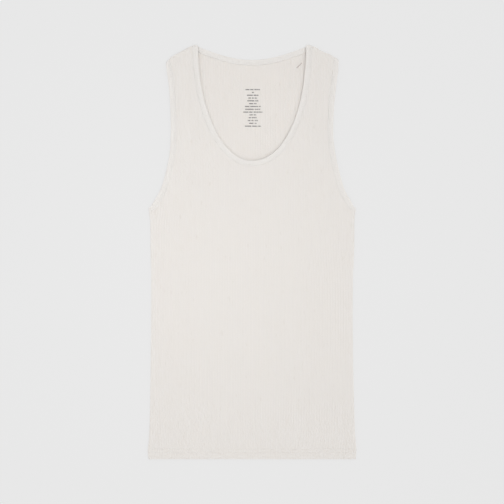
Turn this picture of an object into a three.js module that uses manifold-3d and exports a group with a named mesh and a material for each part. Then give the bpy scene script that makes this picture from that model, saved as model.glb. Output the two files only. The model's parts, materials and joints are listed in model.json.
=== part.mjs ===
// A slim tank top in fine rib, laid flat on its back, in millimetres.
// X runs across it, with the wearer's left side at +X. Y runs up it, from the hem to the shoulders.
// Z is the height over the surface that it lies on. Heights h in the tables are measured up from the hem.
import * as THREE from "three";
import { mergeVertices } from "three/addons/utils/BufferGeometryUtils.js";
import Module from "manifold-3d";

const wasm = await Module();
wasm.setup();

const { lerp, smoothstep, degToRad } = THREE.MathUtils;

// Cloth and make
const CLOTH = 1.1; // one ply of rib
const SEAM = 0.3; // gap between two pieces that are sewn together
const AIR = 0.5; // gap between two plies that lie on each other
const BINDING = { width: 8, thick: 2, round: 0.6, bevel: 0.4 }; // rib strip folded over the raw edge
const HEM = { depth: 18, thick: 2, round: 0.5 }; // turned up once, with a soft fold at its edge

// Size of the garment
const LENGTH = 640;
const NECK = { middle: 0, half: 83.3, frontBottom: 461.2, backBottom: 617 };
const NECK_POWER = { left: 2, right: 2.1 }; // 2 makes an ellipse, more makes it fuller

// Heights of the front's outer face where the plies lie on each other
const BODY_TOP = 2 * CLOTH + AIR;
const HEM_TOP = 2 * HEM.thick + AIR;
const SCOOP_TOP = CLOTH + AIR + BINDING.thick;
const ARMHOLE_TOP = 2 * BINDING.thick + AIR;
const SHOULDER_TOP = 5.5; // the cloth rolls over the shoulder, it isn't pressed flat
const UNDER_BINDING = (BINDING.thick - CLOTH) / 2; // a binding stands this much over the cloth that it holds

// How far the heights above reach into the panel
const HEM_REACH = 75;
const NECK_REACH = 24;
const ARMHOLE_REACH = 34;
const SHOULDER_REACH = 60;

// Half widths of the body at heights over the hem: the hem flares, the waist is slim
const SIDES = [
  { h: 0, left: 160.5, right: 160.5 },
  { h: 14, left: 161.4, right: 161.4 },
  { h: 34, left: 159.4, right: 159.8 },
  { h: 60, left: 158.3, right: 158.6 },
  { h: 184, left: 156.4, right: 156 },
  { h: 277, left: 156, right: 156.3 },
  { h: 330, left: 157.2, right: 158.4 },
  { h: 368, left: 157.5, right: 158.4 },
  { h: 384, left: 159.8, right: 159.6 },
];

// Half widths to the finished edge of each armhole
const ARMHOLES = [
  { h: 389, left: 157.4, right: 158 },
  { h: 400, left: 150.6, right: 152.2 },
  { h: 415, left: 142.2, right: 143.6 },
  { h: 438, left: 134.6, right: 136.5 },
  { h: 469, left: 127.9, right: 129.4 },
  { h: 500, left: 125.5, right: 125.6 },
  { h: 542, left: 126.2, right: 126.6 },
  { h: 579, left: 128.7, right: 130.3 },
  { h: 600, left: 131.9, right: 133 },
  { h: 618, left: 133.2, right: 133.8 },
];

// Heights of the two shoulders at distances out from the middle
const SHOULDERS = [
  { out: 82, left: 640, right: 640 },
  { out: 95, left: 638, right: 638.2 },
  { out: 108, left: 630.9, right: 630.8 },
  { out: 120, left: 624.8, right: 625.9 },
  { out: 127, left: 620.3, right: 621.8 },
  { out: 133.4, left: 612.3, right: 617.2 },
];

// Soft swells of the front, where the cloth doesn't lie quite flat.
// Each has its centre, its half lengths, its turn in degrees and its rise.
const SWELLS = [
  { x: 74, h: 599, across: 13, along: 36, turn: -6, rise: 2.4 }, // right lip of the neckline
  { x: 57, h: 506, across: 15, along: 44, turn: -26, rise: 0.8 },
  { x: 19, h: 463, across: 26, along: 14, turn: 14, rise: 1.1 },
  { x: -79, h: 591, across: 10, along: 34, turn: 5, rise: 0.4 }, // left lip
  { x: -106, h: 540, across: 11, along: 60, turn: 3, rise: 0.7 }, // straps
  { x: 103, h: 545, across: 11, along: 55, turn: -4, rise: 0.8 },
  { x: -62, h: 285, across: 42, along: 130, turn: 3, rise: 1.3 }, // body
  { x: 38, h: 330, across: 34, along: 110, turn: -4, rise: 1 },
  { x: 96, h: 205, across: 30, along: 120, turn: 2, rise: 1.4 },
  { x: -20, h: 120, across: 48, along: 60, turn: 8, rise: 0.8 },
  { x: -112, h: 120, across: 22, along: 70, turn: -3, rise: 0.9 },
  { x: 6, h: 425, across: 60, along: 26, turn: 0, rise: 0.7 },
];
const SWELL_MARGIN = 34; // swells fade out over this distance from a folded edge

// Fineness of the shapes
const PANEL_COLUMNS = 20;
const BODY_STEP = 26; // between rows of the body
const STRAP_START = 560; // above this height the rows bend to follow the shoulders
const STRAP_ROWS = 5;
const NECK_STEPS = 44;
const BACK_NECK_STEPS = 26;
const ARMHOLE_STEPS = 26;
const QUARTER_TURN = [30, 60, 90].map(degToRad);
const HALF_TURN = [30, 60, 90, 120, 150].map(degToRad);
const FAN = 14; // length over which a binding swings from a fold into its run

// A smooth function through one column of a table, flat beyond its ends
function through(rows, key, column) {
  const slopes = rows.map((row, i) => {
    const before = rows[Math.max(i - 1, 0)];
    const after = rows[Math.min(i + 1, rows.length - 1)];
    return (after[column] - before[column]) / (after[key] - before[key]);
  });
  return (value) => {
    const at = THREE.MathUtils.clamp(value, rows[0][key], rows.at(-1)[key]);
    const next = Math.max(rows.findIndex((row) => row[key] >= at), 1);
    const a = rows[next - 1];
    const b = rows[next];
    const span = b[key] - a[key];
    const t = (at - a[key]) / span;
    const bend = t * t * (3 - 2 * t);
    const lift = span * t * (1 - t) * ((1 - t) * slopes[next - 1] - t * slopes[next]);
    return lerp(a[column], b[column], bend) + lift;
  };
}

const UP = new THREE.Vector2(0, 1);
const DOWN = new THREE.Vector2(0, -1);
const LEFT = new THREE.Vector2(-1, 0);
const RIGHT = new THREE.Vector2(1, 0);

// The two halves of the outline, left and right as the garment is seen from above
const HALVES = {
  left: { name: "left", sign: -1, outward: LEFT },
  right: { name: "right", sign: 1, outward: RIGHT },
};
for (const half of Object.values(HALVES)) {
  half.side = through(SIDES, "h", half.name);
  half.armhole = through(ARMHOLES, "h", half.name);
  half.shoulder = through(SHOULDERS, "out", half.name);
}

const halfAt = (x) => (x < 0 ? HALVES.left : HALVES.right);

// The line round which the cloth rolls over at a shoulder
function shoulderFold(x) {
  return halfAt(x).shoulder(Math.abs(x)) - SHOULDER_TOP / 2;
}

// Falls softly from 1 at an edge to 0 at the end of its reach
const fall = (distance, reach) => 1 - smoothstep(distance, 0, reach);

// Steps from 0 to 1 that are close together at both ends
const easedSteps = (count) =>
  Array.from({ length: count + 1 }, (_, k) => (1 - Math.cos((Math.PI * k) / count)) / 2);

const evenSteps = (count) => Array.from({ length: count + 1 }, (_, k) => k / count);

// Finished edges in plan
const foldHeight = LENGTH - SHOULDER_TOP / 2;

// The front neckline is half an ellipse, a little fuller on the right
const frontNeckEdge = evenSteps(NECK_STEPS).map((t) => {
  const angle = Math.PI * (1 + t);
  const power = 2 / (t < 0.5 ? NECK_POWER.left : NECK_POWER.right);
  const out = NECK.half * Math.sign(Math.cos(angle)) * Math.abs(Math.cos(angle)) ** power;
  const drop = (foldHeight - NECK.frontBottom) * Math.abs(Math.sin(angle)) ** power;
  return new THREE.Vector2(NECK.middle + out, foldHeight - drop);
});

const backNeckEdge = easedSteps(BACK_NECK_STEPS).map((t) => {
  const out = NECK.half * (1 - 2 * t);
  const drop = (foldHeight - NECK.backBottom) * Math.cos((Math.PI / 2) * (out / NECK.half));
  return new THREE.Vector2(NECK.middle + out, foldHeight - drop);
});

function armholeEdge(half) {
  const bottom = ARMHOLES[0].h;
  const top = half.shoulder(Infinity) - SHOULDER_TOP / 2;
  return easedSteps(ARMHOLE_STEPS).map((t) => {
    const h = lerp(bottom, top, t);
    return new THREE.Vector2(half.sign * half.armhole(h), h);
  });
}

HALVES.left.edge = armholeEdge(HALVES.left);
HALVES.right.edge = armholeEdge(HALVES.right);

function distanceTo(edge, x, y) {
  return Math.min(...edge.map((point) => Math.hypot(point.x - x, point.y - y)));
}

// Rise of the front's swells at a point
function swell(x, y) {
  const half = halfAt(x);
  const fromSide = half.side(y) - Math.abs(x);
  const fromShoulder = shoulderFold(x) - y;
  const calm = smoothstep(Math.min(fromSide, fromShoulder), 0, SWELL_MARGIN);
  let rise = 0;
  for (const one of SWELLS) {
    const turn = degToRad(one.turn);
    const across = (x - one.x) * Math.cos(turn) + (y - one.h) * Math.sin(turn);
    const along = (y - one.h) * Math.cos(turn) - (x - one.x) * Math.sin(turn);
    rise += one.rise * Math.exp(-((across / one.across) ** 2) - (along / one.along) ** 2);
  }
  return rise * calm;
}

const nearShoulder = (x, y) => fall(Math.max(shoulderFold(x) - y, 0), SHOULDER_REACH);

// Height of the front panel's outer face
function panelTop(x, y) {
  const hem = (HEM_TOP - BODY_TOP) * fall(Math.max(y - HEM.depth, 0), HEM_REACH);
  const neck = UNDER_BINDING * fall(distanceTo(frontNeckEdge, x, y), NECK_REACH);
  const armholeRise = ARMHOLE_TOP - UNDER_BINDING - BODY_TOP;
  const armhole = armholeRise * fall(distanceTo(halfAt(x).edge, x, y) - BINDING.width, ARMHOLE_REACH);
  const lying = BODY_TOP + hem + Math.max(neck, armhole) + swell(x, y);
  return lerp(lying, SHOULDER_TOP, nearShoulder(x, y));
}

// A closed mesh through rings of points. A loop of rings closes on itself. Otherwise each end ring is closed
// across, from its first half to its second.
function loft(rings, loop) {
  const count = rings[0].length;
  const positions = rings.flat().flatMap((point) => point.toArray());
  const faces = [];
  const quad = (a, b, c, d) => faces.push(a, b, c, a, c, d);
  for (let i = 0; i < rings.length - (loop ? 0 : 1); i += 1) {
    const here = i * count;
    const next = ((i + 1) % rings.length) * count;
    for (let j = 0; j < count; j += 1) {
      const k = (j + 1) % count;
      quad(here + j, here + k, next + k, next + j);
    }
  }
  if (!loop) {
    const last = (rings.length - 1) * count;
    for (let j = 0; j < count / 2 - 1; j += 1) {
      quad(j, count - 1 - j, count - 2 - j, j + 1);
      quad(last + j, last + j + 1, last + count - 2 - j, last + count - 1 - j);
    }
  }
  const geometry = new THREE.BufferGeometry();
  geometry.setAttribute("position", new THREE.Float32BufferAttribute(positions, 3));
  geometry.setIndex(faces);
  return facingOut(geometry);
}

// Turns a closed mesh so that its faces point out
function facingOut(geometry) {
  const at = geometry.getAttribute("position");
  const faces = geometry.index.array;
  const corner = (i) => new THREE.Vector3().fromBufferAttribute(at, faces[i]);
  let volume = 0;
  for (let i = 0; i < faces.length; i += 3) {
    volume += corner(i).dot(corner(i + 1).cross(corner(i + 2)));
  }
  if (volume < 0) geometry.setIndex(Array.from(faces).reverse());
  return geometry;
}

function toSolid(geometry) {
  const bare = geometry.clone();
  bare.deleteAttribute("normal");
  bare.deleteAttribute("uv");
  const merged = mergeVertices(bare, 1e-4);
  const vertProperties = merged.getAttribute("position").array;
  const triVerts = new Uint32Array(merged.index.array);
  return new wasm.Manifold(new wasm.Mesh({ numProp: 3, vertProperties, triVerts }));
}

function toGeometry(solid) {
  const { vertProperties, triVerts } = solid.getMesh();
  const geometry = new THREE.BufferGeometry();
  geometry.setAttribute("position", new THREE.BufferAttribute(vertProperties, 3));
  geometry.setIndex(new THREE.BufferAttribute(triVerts, 1));
  return geometry;
}

// Bindings: each place along an edge has its edge point and the direction from there into the cloth
function places(edge, clothSide, startInto, endInto) {
  const angleOf = (v) => Math.atan2(v.y, v.x);
  const swing = (from, to, share) => {
    const turn = Math.atan2(Math.sin(to - from), Math.cos(to - from));
    return from + turn * share;
  };
  return edge.map((point, i) => {
    const before = edge[Math.max(i - 1, 0)];
    const after = edge[Math.min(i + 1, edge.length - 1)];
    const along = after.clone().sub(before);
    let angle = Math.atan2(-along.x * clothSide, along.y * clothSide);
    angle = swing(angle, angleOf(startInto), fall(point.distanceTo(edge[0]), FAN));
    angle = swing(angle, angleOf(endInto), fall(point.distanceTo(edge.at(-1)), FAN));
    return { point, into: new THREE.Vector2(Math.cos(angle), Math.sin(angle)) };
  });
}

// Section of a binding, with a round folded edge: distance from that edge, and depth under its outer face
const BINDING_SECTION = [
  { across: 0, depth: BINDING.thick - BINDING.round },
  { across: 0, depth: BINDING.round },
  { across: BINDING.round, depth: 0 },
  { across: BINDING.width - BINDING.bevel, depth: 0 },
  { across: BINDING.width, depth: BINDING.bevel },
  { across: BINDING.width, depth: BINDING.thick - BINDING.bevel },
  { across: BINDING.width - BINDING.bevel, depth: BINDING.thick },
  { across: BINDING.round, depth: BINDING.thick },
];

const inPlan = (place, across) => place.point.clone().addScaledVector(place.into, across);

// Rings of a binding on the front, where restingTop is its height on what lies under it
function frontRings(list, restingTop) {
  return list.map((place) =>
    BINDING_SECTION.map(({ across, depth }) => {
      const { x, y } = inPlan(place, across);
      const top = lerp(restingTop + swell(x, y), SHOULDER_TOP, nearShoulder(x, y));
      return new THREE.Vector3(x, y, top - depth);
    }),
  );
}

const backRings = (list) =>
  list.map((place) =>
    BINDING_SECTION.map(({ across, depth }) => {
      const { x, y } = inPlan(place, across);
      return new THREE.Vector3(x, y, depth);
    }),
  );

// Rings of a binding that rolls over from the front to the back, towards the direction out
function foldRings(place, top, out) {
  return HALF_TURN.map((angle) =>
    BINDING_SECTION.map(({ across, depth }) => {
      const { x, y } = inPlan(place, across);
      const radius = top / 2 - depth;
      const reach = radius * Math.sin(angle);
      return new THREE.Vector3(x + out.x * reach, y + out.y * reach, top / 2 + radius * Math.cos(angle));
    }),
  );
}

const frontNeck = places(frontNeckEdge, 1, LEFT, RIGHT);
const backNeck = places(backNeckEdge, -1, RIGHT, LEFT);

function neckBinding() {
  return loft(
    [
      ...frontRings(frontNeck, SCOOP_TOP),
      ...foldRings(backNeck[0], SHOULDER_TOP, UP),
      ...backRings(backNeck),
      ...foldRings(backNeck.at(-1), SHOULDER_TOP, UP).reverse(),
    ],
    true,
  );
}

function armholePlaces(half) {
  const end = half.edge.at(-1);
  const inward = half.sign * SHOULDERS.at(-2).out;
  const alongShoulder = new THREE.Vector2(inward, shoulderFold(inward)).sub(end);
  return places(half.edge, -half.sign, DOWN, alongShoulder);
}

HALVES.left.places = armholePlaces(HALVES.left);
HALVES.right.places = armholePlaces(HALVES.right);

function armholeBinding(half) {
  const list = half.places;
  return loft(
    [
      ...frontRings(list, ARMHOLE_TOP),
      ...foldRings(list.at(-1), SHOULDER_TOP, UP),
      ...backRings(list).reverse(),
      ...foldRings(list[0], ARMHOLE_TOP, half.outward).reverse(),
    ],
    true,
  );
}

// Rows and columns of a panel. At a side or a shoulder the cloth rolls over by a quarter turn to its seam.
const rollColumns = (sign, share) => QUARTER_TURN.map((roll) => ({ share, roll, sign }));
const COLUMNS = [
  ...rollColumns(-1, 0).reverse(),
  ...evenSteps(PANEL_COLUMNS).map((share) => ({ share, roll: 0 })),
  ...rollColumns(1, 1),
];

const bodyRows = evenSteps(Math.round((STRAP_START - HEM.depth) / BODY_STEP)).map((share) => ({
  h: lerp(HEM.depth, STRAP_START, share),
  thick: CLOTH,
}));
const ROWS = [
  { h: 0, thick: HEM.thick, round: HEM.round },
  { h: HEM.round, thick: HEM.thick },
  { h: HEM.depth - HEM.round, thick: HEM.thick },
  ...bodyRows,
  ...evenSteps(STRAP_ROWS).slice(1).map((bend) => ({ h: STRAP_START, bend, thick: CLOTH })),
  ...QUARTER_TURN.map((roll) => ({ h: STRAP_START, bend: 1, roll, thick: CLOTH })),
];

// A point of a panel's wall, at a depth under its outer face
function panelPoint(isFront, row, column, depth) {
  const [left, right] = [HALVES.left, HALVES.right].map(({ sign, side }) => {
    const edge = sign * side(row.h);
    return edge - (sign * panelTop(edge, row.h)) / 2;
  });
  const point = new THREE.Vector3(lerp(left, right, column.share), 0, 0);
  point.y = lerp(row.h, shoulderFold(point.x), row.bend ?? 0);
  const top = panelTop(point.x, point.y);
  const radius = (top - SEAM) / 2 - depth;
  const roll = row.roll ?? column.roll;
  point.z = roll ? (top + SEAM) / 2 + radius * Math.cos(roll) : top - depth;
  if (row.roll) point.y += radius * Math.sin(roll);
  else if (roll) point.x += column.sign * radius * Math.sin(roll);
  if (!isFront) point.z = top - point.z;
  return point;
}

function blankPanel(isFront) {
  const rings = ROWS.map((row) => {
    const round = row.round ?? 0;
    const outer = COLUMNS.map((column) => panelPoint(isFront, row, column, round));
    const inner = COLUMNS.map((column) => panelPoint(isFront, row, column, row.thick - round));
    return [...outer, ...inner.reverse()];
  });
  return loft(rings, false);
}

// Cutting: everything past a binding is cut away, up to a seam's gap from it
const CUT_MARGIN = 12;
const CUT_DEPTH = 40;

function cutter(list, startOut, endOut, corners = []) {
  const cut = list.map((place) => inPlan(place, BINDING.width + SEAM));
  const start = cut[0].clone().addScaledVector(startOut, CUT_MARGIN);
  const end = cut.at(-1).clone().addScaledVector(endOut, CUT_MARGIN);
  const shape = new THREE.Shape([start, ...cut, end, ...corners]);
  const prism = new THREE.ExtrudeGeometry(shape, { depth: CUT_DEPTH, bevelEnabled: false });
  return toSolid(prism.translate(0, 0, -CUT_DEPTH / 2));
}

function armholeCutter(half) {
  const corner = new THREE.Vector2(half.sign * (SIDES.at(-1)[half.name] + CUT_MARGIN), LENGTH);
  return cutter(half.places, half.outward, UP, [corner]);
}

function panel(isFront) {
  const neck = cutter(isFront ? frontNeck : backNeck, UP, UP);
  const cut = toSolid(blankPanel(isFront))
    .subtract(neck)
    .subtract(armholeCutter(HALVES.left))
    .subtract(armholeCutter(HALVES.right));
  return toGeometry(cut);
}

// The garment, centred over its origin
const rib = new THREE.MeshStandardMaterial({ color: 0xebe7e2, roughness: 0.92, metalness: 0 });
const bindingRib = new THREE.MeshStandardMaterial({ color: 0xe8e4df, roughness: 0.9, metalness: 0 });

const tankTop = new THREE.Group();
function add(name, geometry, material) {
  const mesh = new THREE.Mesh(geometry, material);
  mesh.name = name;
  tankTop.add(mesh);
}

add("front_panel", panel(true), rib);
add("back_panel", panel(false), rib);
add("neck_binding", neckBinding(), bindingRib);
add("armhole_binding_left", armholeBinding(HALVES.left), bindingRib);
add("armhole_binding_right", armholeBinding(HALVES.right), bindingRib);
tankTop.position.y = -LENGTH / 2;

export default tankTop;
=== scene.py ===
# %% [markdown]
# A slim rib tank top, laid flat
#
# The garment is sewn from two panels of fine ivory rib and three narrow rib strips, folded over the neck and
# armhole edges. It lies on its back, face up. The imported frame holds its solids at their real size, and this
# lesson dresses each of them in cloth: thin ribbed shells, folded bindings, stitches and a printed block.

# %% Load the frame
import json
import math

import bpy
import numpy as np
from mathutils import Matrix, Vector

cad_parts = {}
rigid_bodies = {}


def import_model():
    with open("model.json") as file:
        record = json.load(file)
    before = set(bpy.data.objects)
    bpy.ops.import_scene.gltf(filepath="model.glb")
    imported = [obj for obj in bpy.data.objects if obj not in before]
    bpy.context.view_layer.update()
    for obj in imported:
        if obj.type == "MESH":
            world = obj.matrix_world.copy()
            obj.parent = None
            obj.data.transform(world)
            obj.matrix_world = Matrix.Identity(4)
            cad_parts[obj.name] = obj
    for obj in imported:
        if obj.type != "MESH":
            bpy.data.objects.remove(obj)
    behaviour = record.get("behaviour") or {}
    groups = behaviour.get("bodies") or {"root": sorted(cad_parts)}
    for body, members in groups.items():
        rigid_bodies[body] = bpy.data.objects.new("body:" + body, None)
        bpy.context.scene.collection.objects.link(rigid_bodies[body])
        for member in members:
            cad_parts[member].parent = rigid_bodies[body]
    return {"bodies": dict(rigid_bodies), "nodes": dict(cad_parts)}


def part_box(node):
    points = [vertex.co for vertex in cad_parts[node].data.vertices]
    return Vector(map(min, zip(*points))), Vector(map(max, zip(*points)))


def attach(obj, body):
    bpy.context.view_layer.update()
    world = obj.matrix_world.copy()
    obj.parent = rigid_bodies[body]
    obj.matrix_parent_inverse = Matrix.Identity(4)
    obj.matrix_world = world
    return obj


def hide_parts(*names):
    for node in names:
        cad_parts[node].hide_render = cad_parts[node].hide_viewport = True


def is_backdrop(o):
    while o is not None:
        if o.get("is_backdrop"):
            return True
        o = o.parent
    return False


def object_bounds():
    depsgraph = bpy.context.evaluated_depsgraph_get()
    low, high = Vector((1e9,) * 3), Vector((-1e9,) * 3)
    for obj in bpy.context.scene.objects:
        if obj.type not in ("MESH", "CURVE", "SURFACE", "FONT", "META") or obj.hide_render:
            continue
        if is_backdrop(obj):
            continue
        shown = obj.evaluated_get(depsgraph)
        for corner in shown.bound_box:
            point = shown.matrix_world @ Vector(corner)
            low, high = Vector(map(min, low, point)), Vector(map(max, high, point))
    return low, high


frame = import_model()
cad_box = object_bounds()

MM = 0.001
body = next(iter(frame["bodies"]))
print("nodes:", ", ".join(sorted(frame["nodes"])), "on", body)
print("box, mm:", [round((high - low) / MM, 1) for low, high in zip(*cad_box)])

# %% [markdown]
# Sizes
#
# Cloth is easiest to think of in millimetres, so the shapes are worked out in them and turned into metres
# only when a mesh is made. The garment's length and the height at which it rolls over the shoulders come from
# the frame. The rest are the cutter's own measures.

# %% Sizes of cloth and make
LENGTH = (cad_box[1].y - cad_box[0].y) / MM
HEM_EDGE = cad_box[0].y / MM
SHOULDER_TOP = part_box("armhole_binding_left")[1].z / MM

# thicknesses and depths, mm
CLOTH = 1.1  # the front or back, with its ribs
PLY = 0.76  # the same cloth in the bottom of a groove
STRIP = 0.45  # the binding's strip, stretched thin round the edge
SEAM = 0.3
AIR = 0.5
BINDING_WIDTH = 8.0
BINDING_THICK = CLOTH + 2 * STRIP
HEM_DEPTH = 18.0
HEM_THICK = 2.0
HEM_ROUND = 0.5

BODY_TOP = 2 * CLOTH + AIR
HEM_TOP = 2 * HEM_THICK + AIR
SCOOP_TOP = CLOTH + AIR + BINDING_THICK
ARMHOLE_TOP = 2 * BINDING_THICK + AIR

# how far from a thick edge the cloth takes to lie down again
HEM_REACH = 75.0
NECK_REACH = 24.0
ARMHOLE_REACH = 34.0
SHOULDER_REACH = 60.0
print("length", round(LENGTH, 1), "mm, shoulders roll at", round(SHOULDER_TOP, 2), "mm")

# %% [markdown]
# The outline as short tables
#
# A pattern cutter writes an outline as a few measures: how wide the body is at some heights over the hem,
# where the armhole edge runs, how the shoulder slopes. One row holds one height, one column one side of the
# garment, because no real garment lies quite the same on both sides. A smooth curve through a column fills in
# the rest.


# %% Tables of the outline, and curves through them
def table(columns, *rows):
    """Named columns of numbers, from rows."""
    return dict(zip(columns.split(), np.array(rows, float).T))


SIDES = table(
    "h left right",
    (0, 160.5, 160.5),
    (14, 161.4, 161.4),
    (34, 159.4, 159.8),
    (60, 158.3, 158.6),
    (184, 156.4, 156),
    (277, 156, 156.3),
    (330, 157.2, 158.4),
    (368, 157.5, 158.4),
    (384, 159.8, 159.6),
)
ARMHOLES = table(
    "h left right",
    (389, 157.4, 158),
    (400, 150.6, 152.2),
    (415, 142.2, 143.6),
    (438, 134.6, 136.5),
    (469, 127.9, 129.4),
    (500, 125.5, 125.6),
    (542, 126.2, 126.6),
    (579, 128.7, 130.3),
    (600, 131.9, 133),
    (618, 133.2, 133.8),
)
SHOULDERS = table(
    "out left right",
    (82, 640, 640),
    (95, 638, 638.2),
    (108, 630.9, 630.8),
    (120, 624.8, 625.9),
    (127, 620.3, 621.8),
    (133.4, 612.3, 617.2),
)
NECK = {"middle": 0.0, "half": 83.3, "front": 461.2, "back": 617.0}
NECK_POWER = {"left": 2.0, "right": 2.1}  # 2 makes an ellipse, more makes it fuller


def through(rows, key, column):
    """A smooth function through one column, flat beyond its ends."""
    at, value = rows[key], rows[column]
    before = np.maximum(np.arange(len(at)) - 1, 0)
    after = np.minimum(np.arange(len(at)) + 1, len(at) - 1)
    slope = (value[after] - value[before]) / (at[after] - at[before])

    def curve(wanted):
        x = np.clip(wanted, at[0], at[-1])
        b = np.clip(np.searchsorted(at, x), 1, len(at) - 1)
        a = b - 1
        span = at[b] - at[a]
        t = (x - at[a]) / span
        bend = t * t * (3 - 2 * t)
        lift = span * t * (1 - t) * ((1 - t) * slope[a] - t * slope[b])
        return value[a] + (value[b] - value[a]) * bend + lift

    return curve


def both_sides(rows, key):
    """A function of x and the key that picks the left or the right column."""
    left, right = through(rows, key, "left"), through(rows, key, "right")
    return lambda x, at: np.where(np.asarray(x) < 0, left(at), right(at))


side_at = both_sides(SIDES, "h")
armhole_at = both_sides(ARMHOLES, "h")
shoulder_at = both_sides(SHOULDERS, "out")


def shoulder_fold(x):
    """Height up the garment of the line round which the cloth rolls over a shoulder."""
    return shoulder_at(x, np.abs(x)) - SHOULDER_TOP / 2


def smooth(distance, reach):
    t = np.clip(np.asarray(distance) / reach, 0, 1)
    return t * t * (3 - 2 * t)


def fall(distance, reach):
    """From 1 at an edge to 0 at the end of its reach."""
    return 1 - smooth(distance, reach)


print("half width at the waist:", float(side_at(-1, 277)), "and", float(side_at(1, 277)), "mm")

# %% [markdown]
# The finished edges
#
# The front neckline is half an ellipse, a little fuller on the right, the back one a shallow cosine, and an
# armhole follows its table. Each edge is kept as points in plan, close together at its ends, where the
# binding has to swing round into the fold at the shoulder or under the arm.

# %% Edges in plan
FOLD_HEIGHT = LENGTH - SHOULDER_TOP / 2
EDGE_STEPS = 420


def eased(count):
    return (1 - np.cos(np.pi * np.arange(count + 1) / count)) / 2


def neck_front_edge():
    share = np.linspace(0, 1, EDGE_STEPS + 1)
    c, s = np.cos(np.pi * (1 + share)), np.sin(np.pi * share)
    power = 2 / np.where(share < 0.5, NECK_POWER["left"], NECK_POWER["right"])
    out = NECK["half"] * np.sign(c) * np.abs(c) ** power
    drop = (FOLD_HEIGHT - NECK["front"]) * np.maximum(s, 0) ** power
    return np.stack([NECK["middle"] + out, FOLD_HEIGHT - drop], 1)


def neck_back_edge():
    out = NECK["half"] * (1 - 2 * eased(EDGE_STEPS))
    drop = (FOLD_HEIGHT - NECK["back"]) * np.cos(np.pi / 2 * out / NECK["half"])
    return np.stack([NECK["middle"] + out, FOLD_HEIGHT - drop], 1)


def armhole_edge(sign):
    top = shoulder_at(sign, SHOULDERS["out"][-1]) - SHOULDER_TOP / 2
    h = ARMHOLES["h"][0] + (top - ARMHOLES["h"][0]) * eased(EDGE_STEPS)
    return np.stack([sign * armhole_at(sign, h), h], 1)


NECK_FRONT = neck_front_edge()
NECK_BACK = neck_back_edge()
ARMHOLE = {-1: armhole_edge(-1), 1: armhole_edge(1)}


def edge_length(edge):
    return float(np.linalg.norm(np.diff(edge, axis=0), axis=1).sum())


print("front neckline", round(edge_length(NECK_FRONT)), "mm, back", round(edge_length(NECK_BACK)), "mm,")
print("armholes", *(round(edge_length(ARMHOLE[sign])) for sign in (-1, 1)), "mm from underarm to shoulder")

# %% [markdown]
# How the cloth lies
#
# A garment laid out by hand is never a flat plate. It stands a little higher where there is more cloth under
# it, at the hem and the bindings, and it keeps air under the front in long, low swells. The right lip of the
# neckline stands up most, which is why a thin dark line runs along it. A swell is a soft bell with its own
# half lengths and turn. A cloth simulation would hardly move a sheet that lies still, so the swells and the
# finer creases are listed one by one, where a table keeps them easy to read and change.

# %% Swells and creases
SWELLS = table(
    "x h across along turn rise",
    (74, 599, 13, 36, -6, 2.4),
    (57, 506, 15, 44, -26, 0.8),
    (19, 463, 26, 14, 14, 1.1),
    (-79, 591, 10, 34, 5, 0.4),
    (-106, 540, 11, 60, 3, 0.7),
    (103, 545, 11, 55, -4, 0.8),
    (-62, 285, 42, 130, 3, 1.3),
    (38, 330, 34, 110, -4, 1),
    (96, 205, 30, 120, 2, 1.4),
    (-20, 120, 48, 60, 8, 0.8),
    (-112, 120, 22, 70, -3, 0.9),
    (6, 425, 60, 26, 0, 0.7),
)
CREASES = table(
    "x h across along turn rise",
    (-120, 424, 4.5, 30, -34, 0.45),
    (-104, 402, 6, 38, -48, -0.3),
    (122, 426, 4.5, 28, 32, 0.4),
    (107, 399, 6, 36, 46, -0.3),
    (-109, 588, 3.6, 32, 2, 0.35),
    (-98, 560, 4, 36, 4, -0.25),
    (107, 584, 4, 34, -3, 0.4),
    (115, 548, 3.6, 40, -2, -0.25),
    (34, 441, 40, 5, 11, 0.3),
    (-36, 437, 36, 5, -9, 0.25),
    (-132, 262, 5, 74, 1, 0.35),
    (134, 236, 5, 82, -1, -0.3),
    (-92, 52, 9, 30, 2, 0.4),
    (-24, 46, 8, 26, 3, -0.3),
    (57, 54, 10, 32, -2, 0.4),
    (119, 44, 8, 28, 1, 0.35),
    (16, 212, 7, 64, 4, 0.3),
    (-38, 362, 6, 44, -5, -0.25),
)
BACK_SWELLS = table(
    "x h across along turn rise",
    (-22, 566, 24, 34, 6, 0.5),
    (34, 545, 16, 38, -8, 0.45),
    (4, 506, 22, 14, 0, 0.3),
)
SWELL_MARGIN = 34.0
PORTION = 4096  # points compared with an edge at a time, to spare memory


def bells(rows, x, y):
    """The sum of the soft bells of a table."""
    rise = 0
    for cx, h, across, along, turn, height in zip(*rows.values()):
        c, s = math.cos(math.radians(turn)), math.sin(math.radians(turn))
        u = ((x - cx) * c + (y - h) * s) / across
        v = ((y - h) * c - (x - cx) * s) / along
        rise = rise + height * np.exp(-u * u - v * v)
    return rise


def calm(x, y):
    """0 at a folded side or shoulder, 1 a hand's breadth inside it."""
    return smooth(np.minimum(side_at(x, y) - np.abs(x), shoulder_fold(x) - y), SWELL_MARGIN)


def swell(x, y):
    return bells(SWELLS, x, y) * calm(x, y)


def distance_to(edge, x, y):
    """Distance from each point to the nearest point of an edge, a portion of the points at a time."""
    flat = np.stack([np.ravel(x), np.ravel(y)], 1)
    nearest = []
    for start in range(0, len(flat), PORTION):
        apart = flat[start : start + PORTION, None] - edge[None]
        nearest.append(np.hypot(*apart.transpose(2, 0, 1)).min(1))
    return np.concatenate(nearest).reshape(np.shape(x))


def armhole_distance(x, y):
    return np.where(x < 0, distance_to(ARMHOLE[-1], x, y), distance_to(ARMHOLE[1], x, y))


def near_shoulder(x, y):
    return fall(np.maximum(shoulder_fold(x) - y, 0), SHOULDER_REACH)


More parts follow.
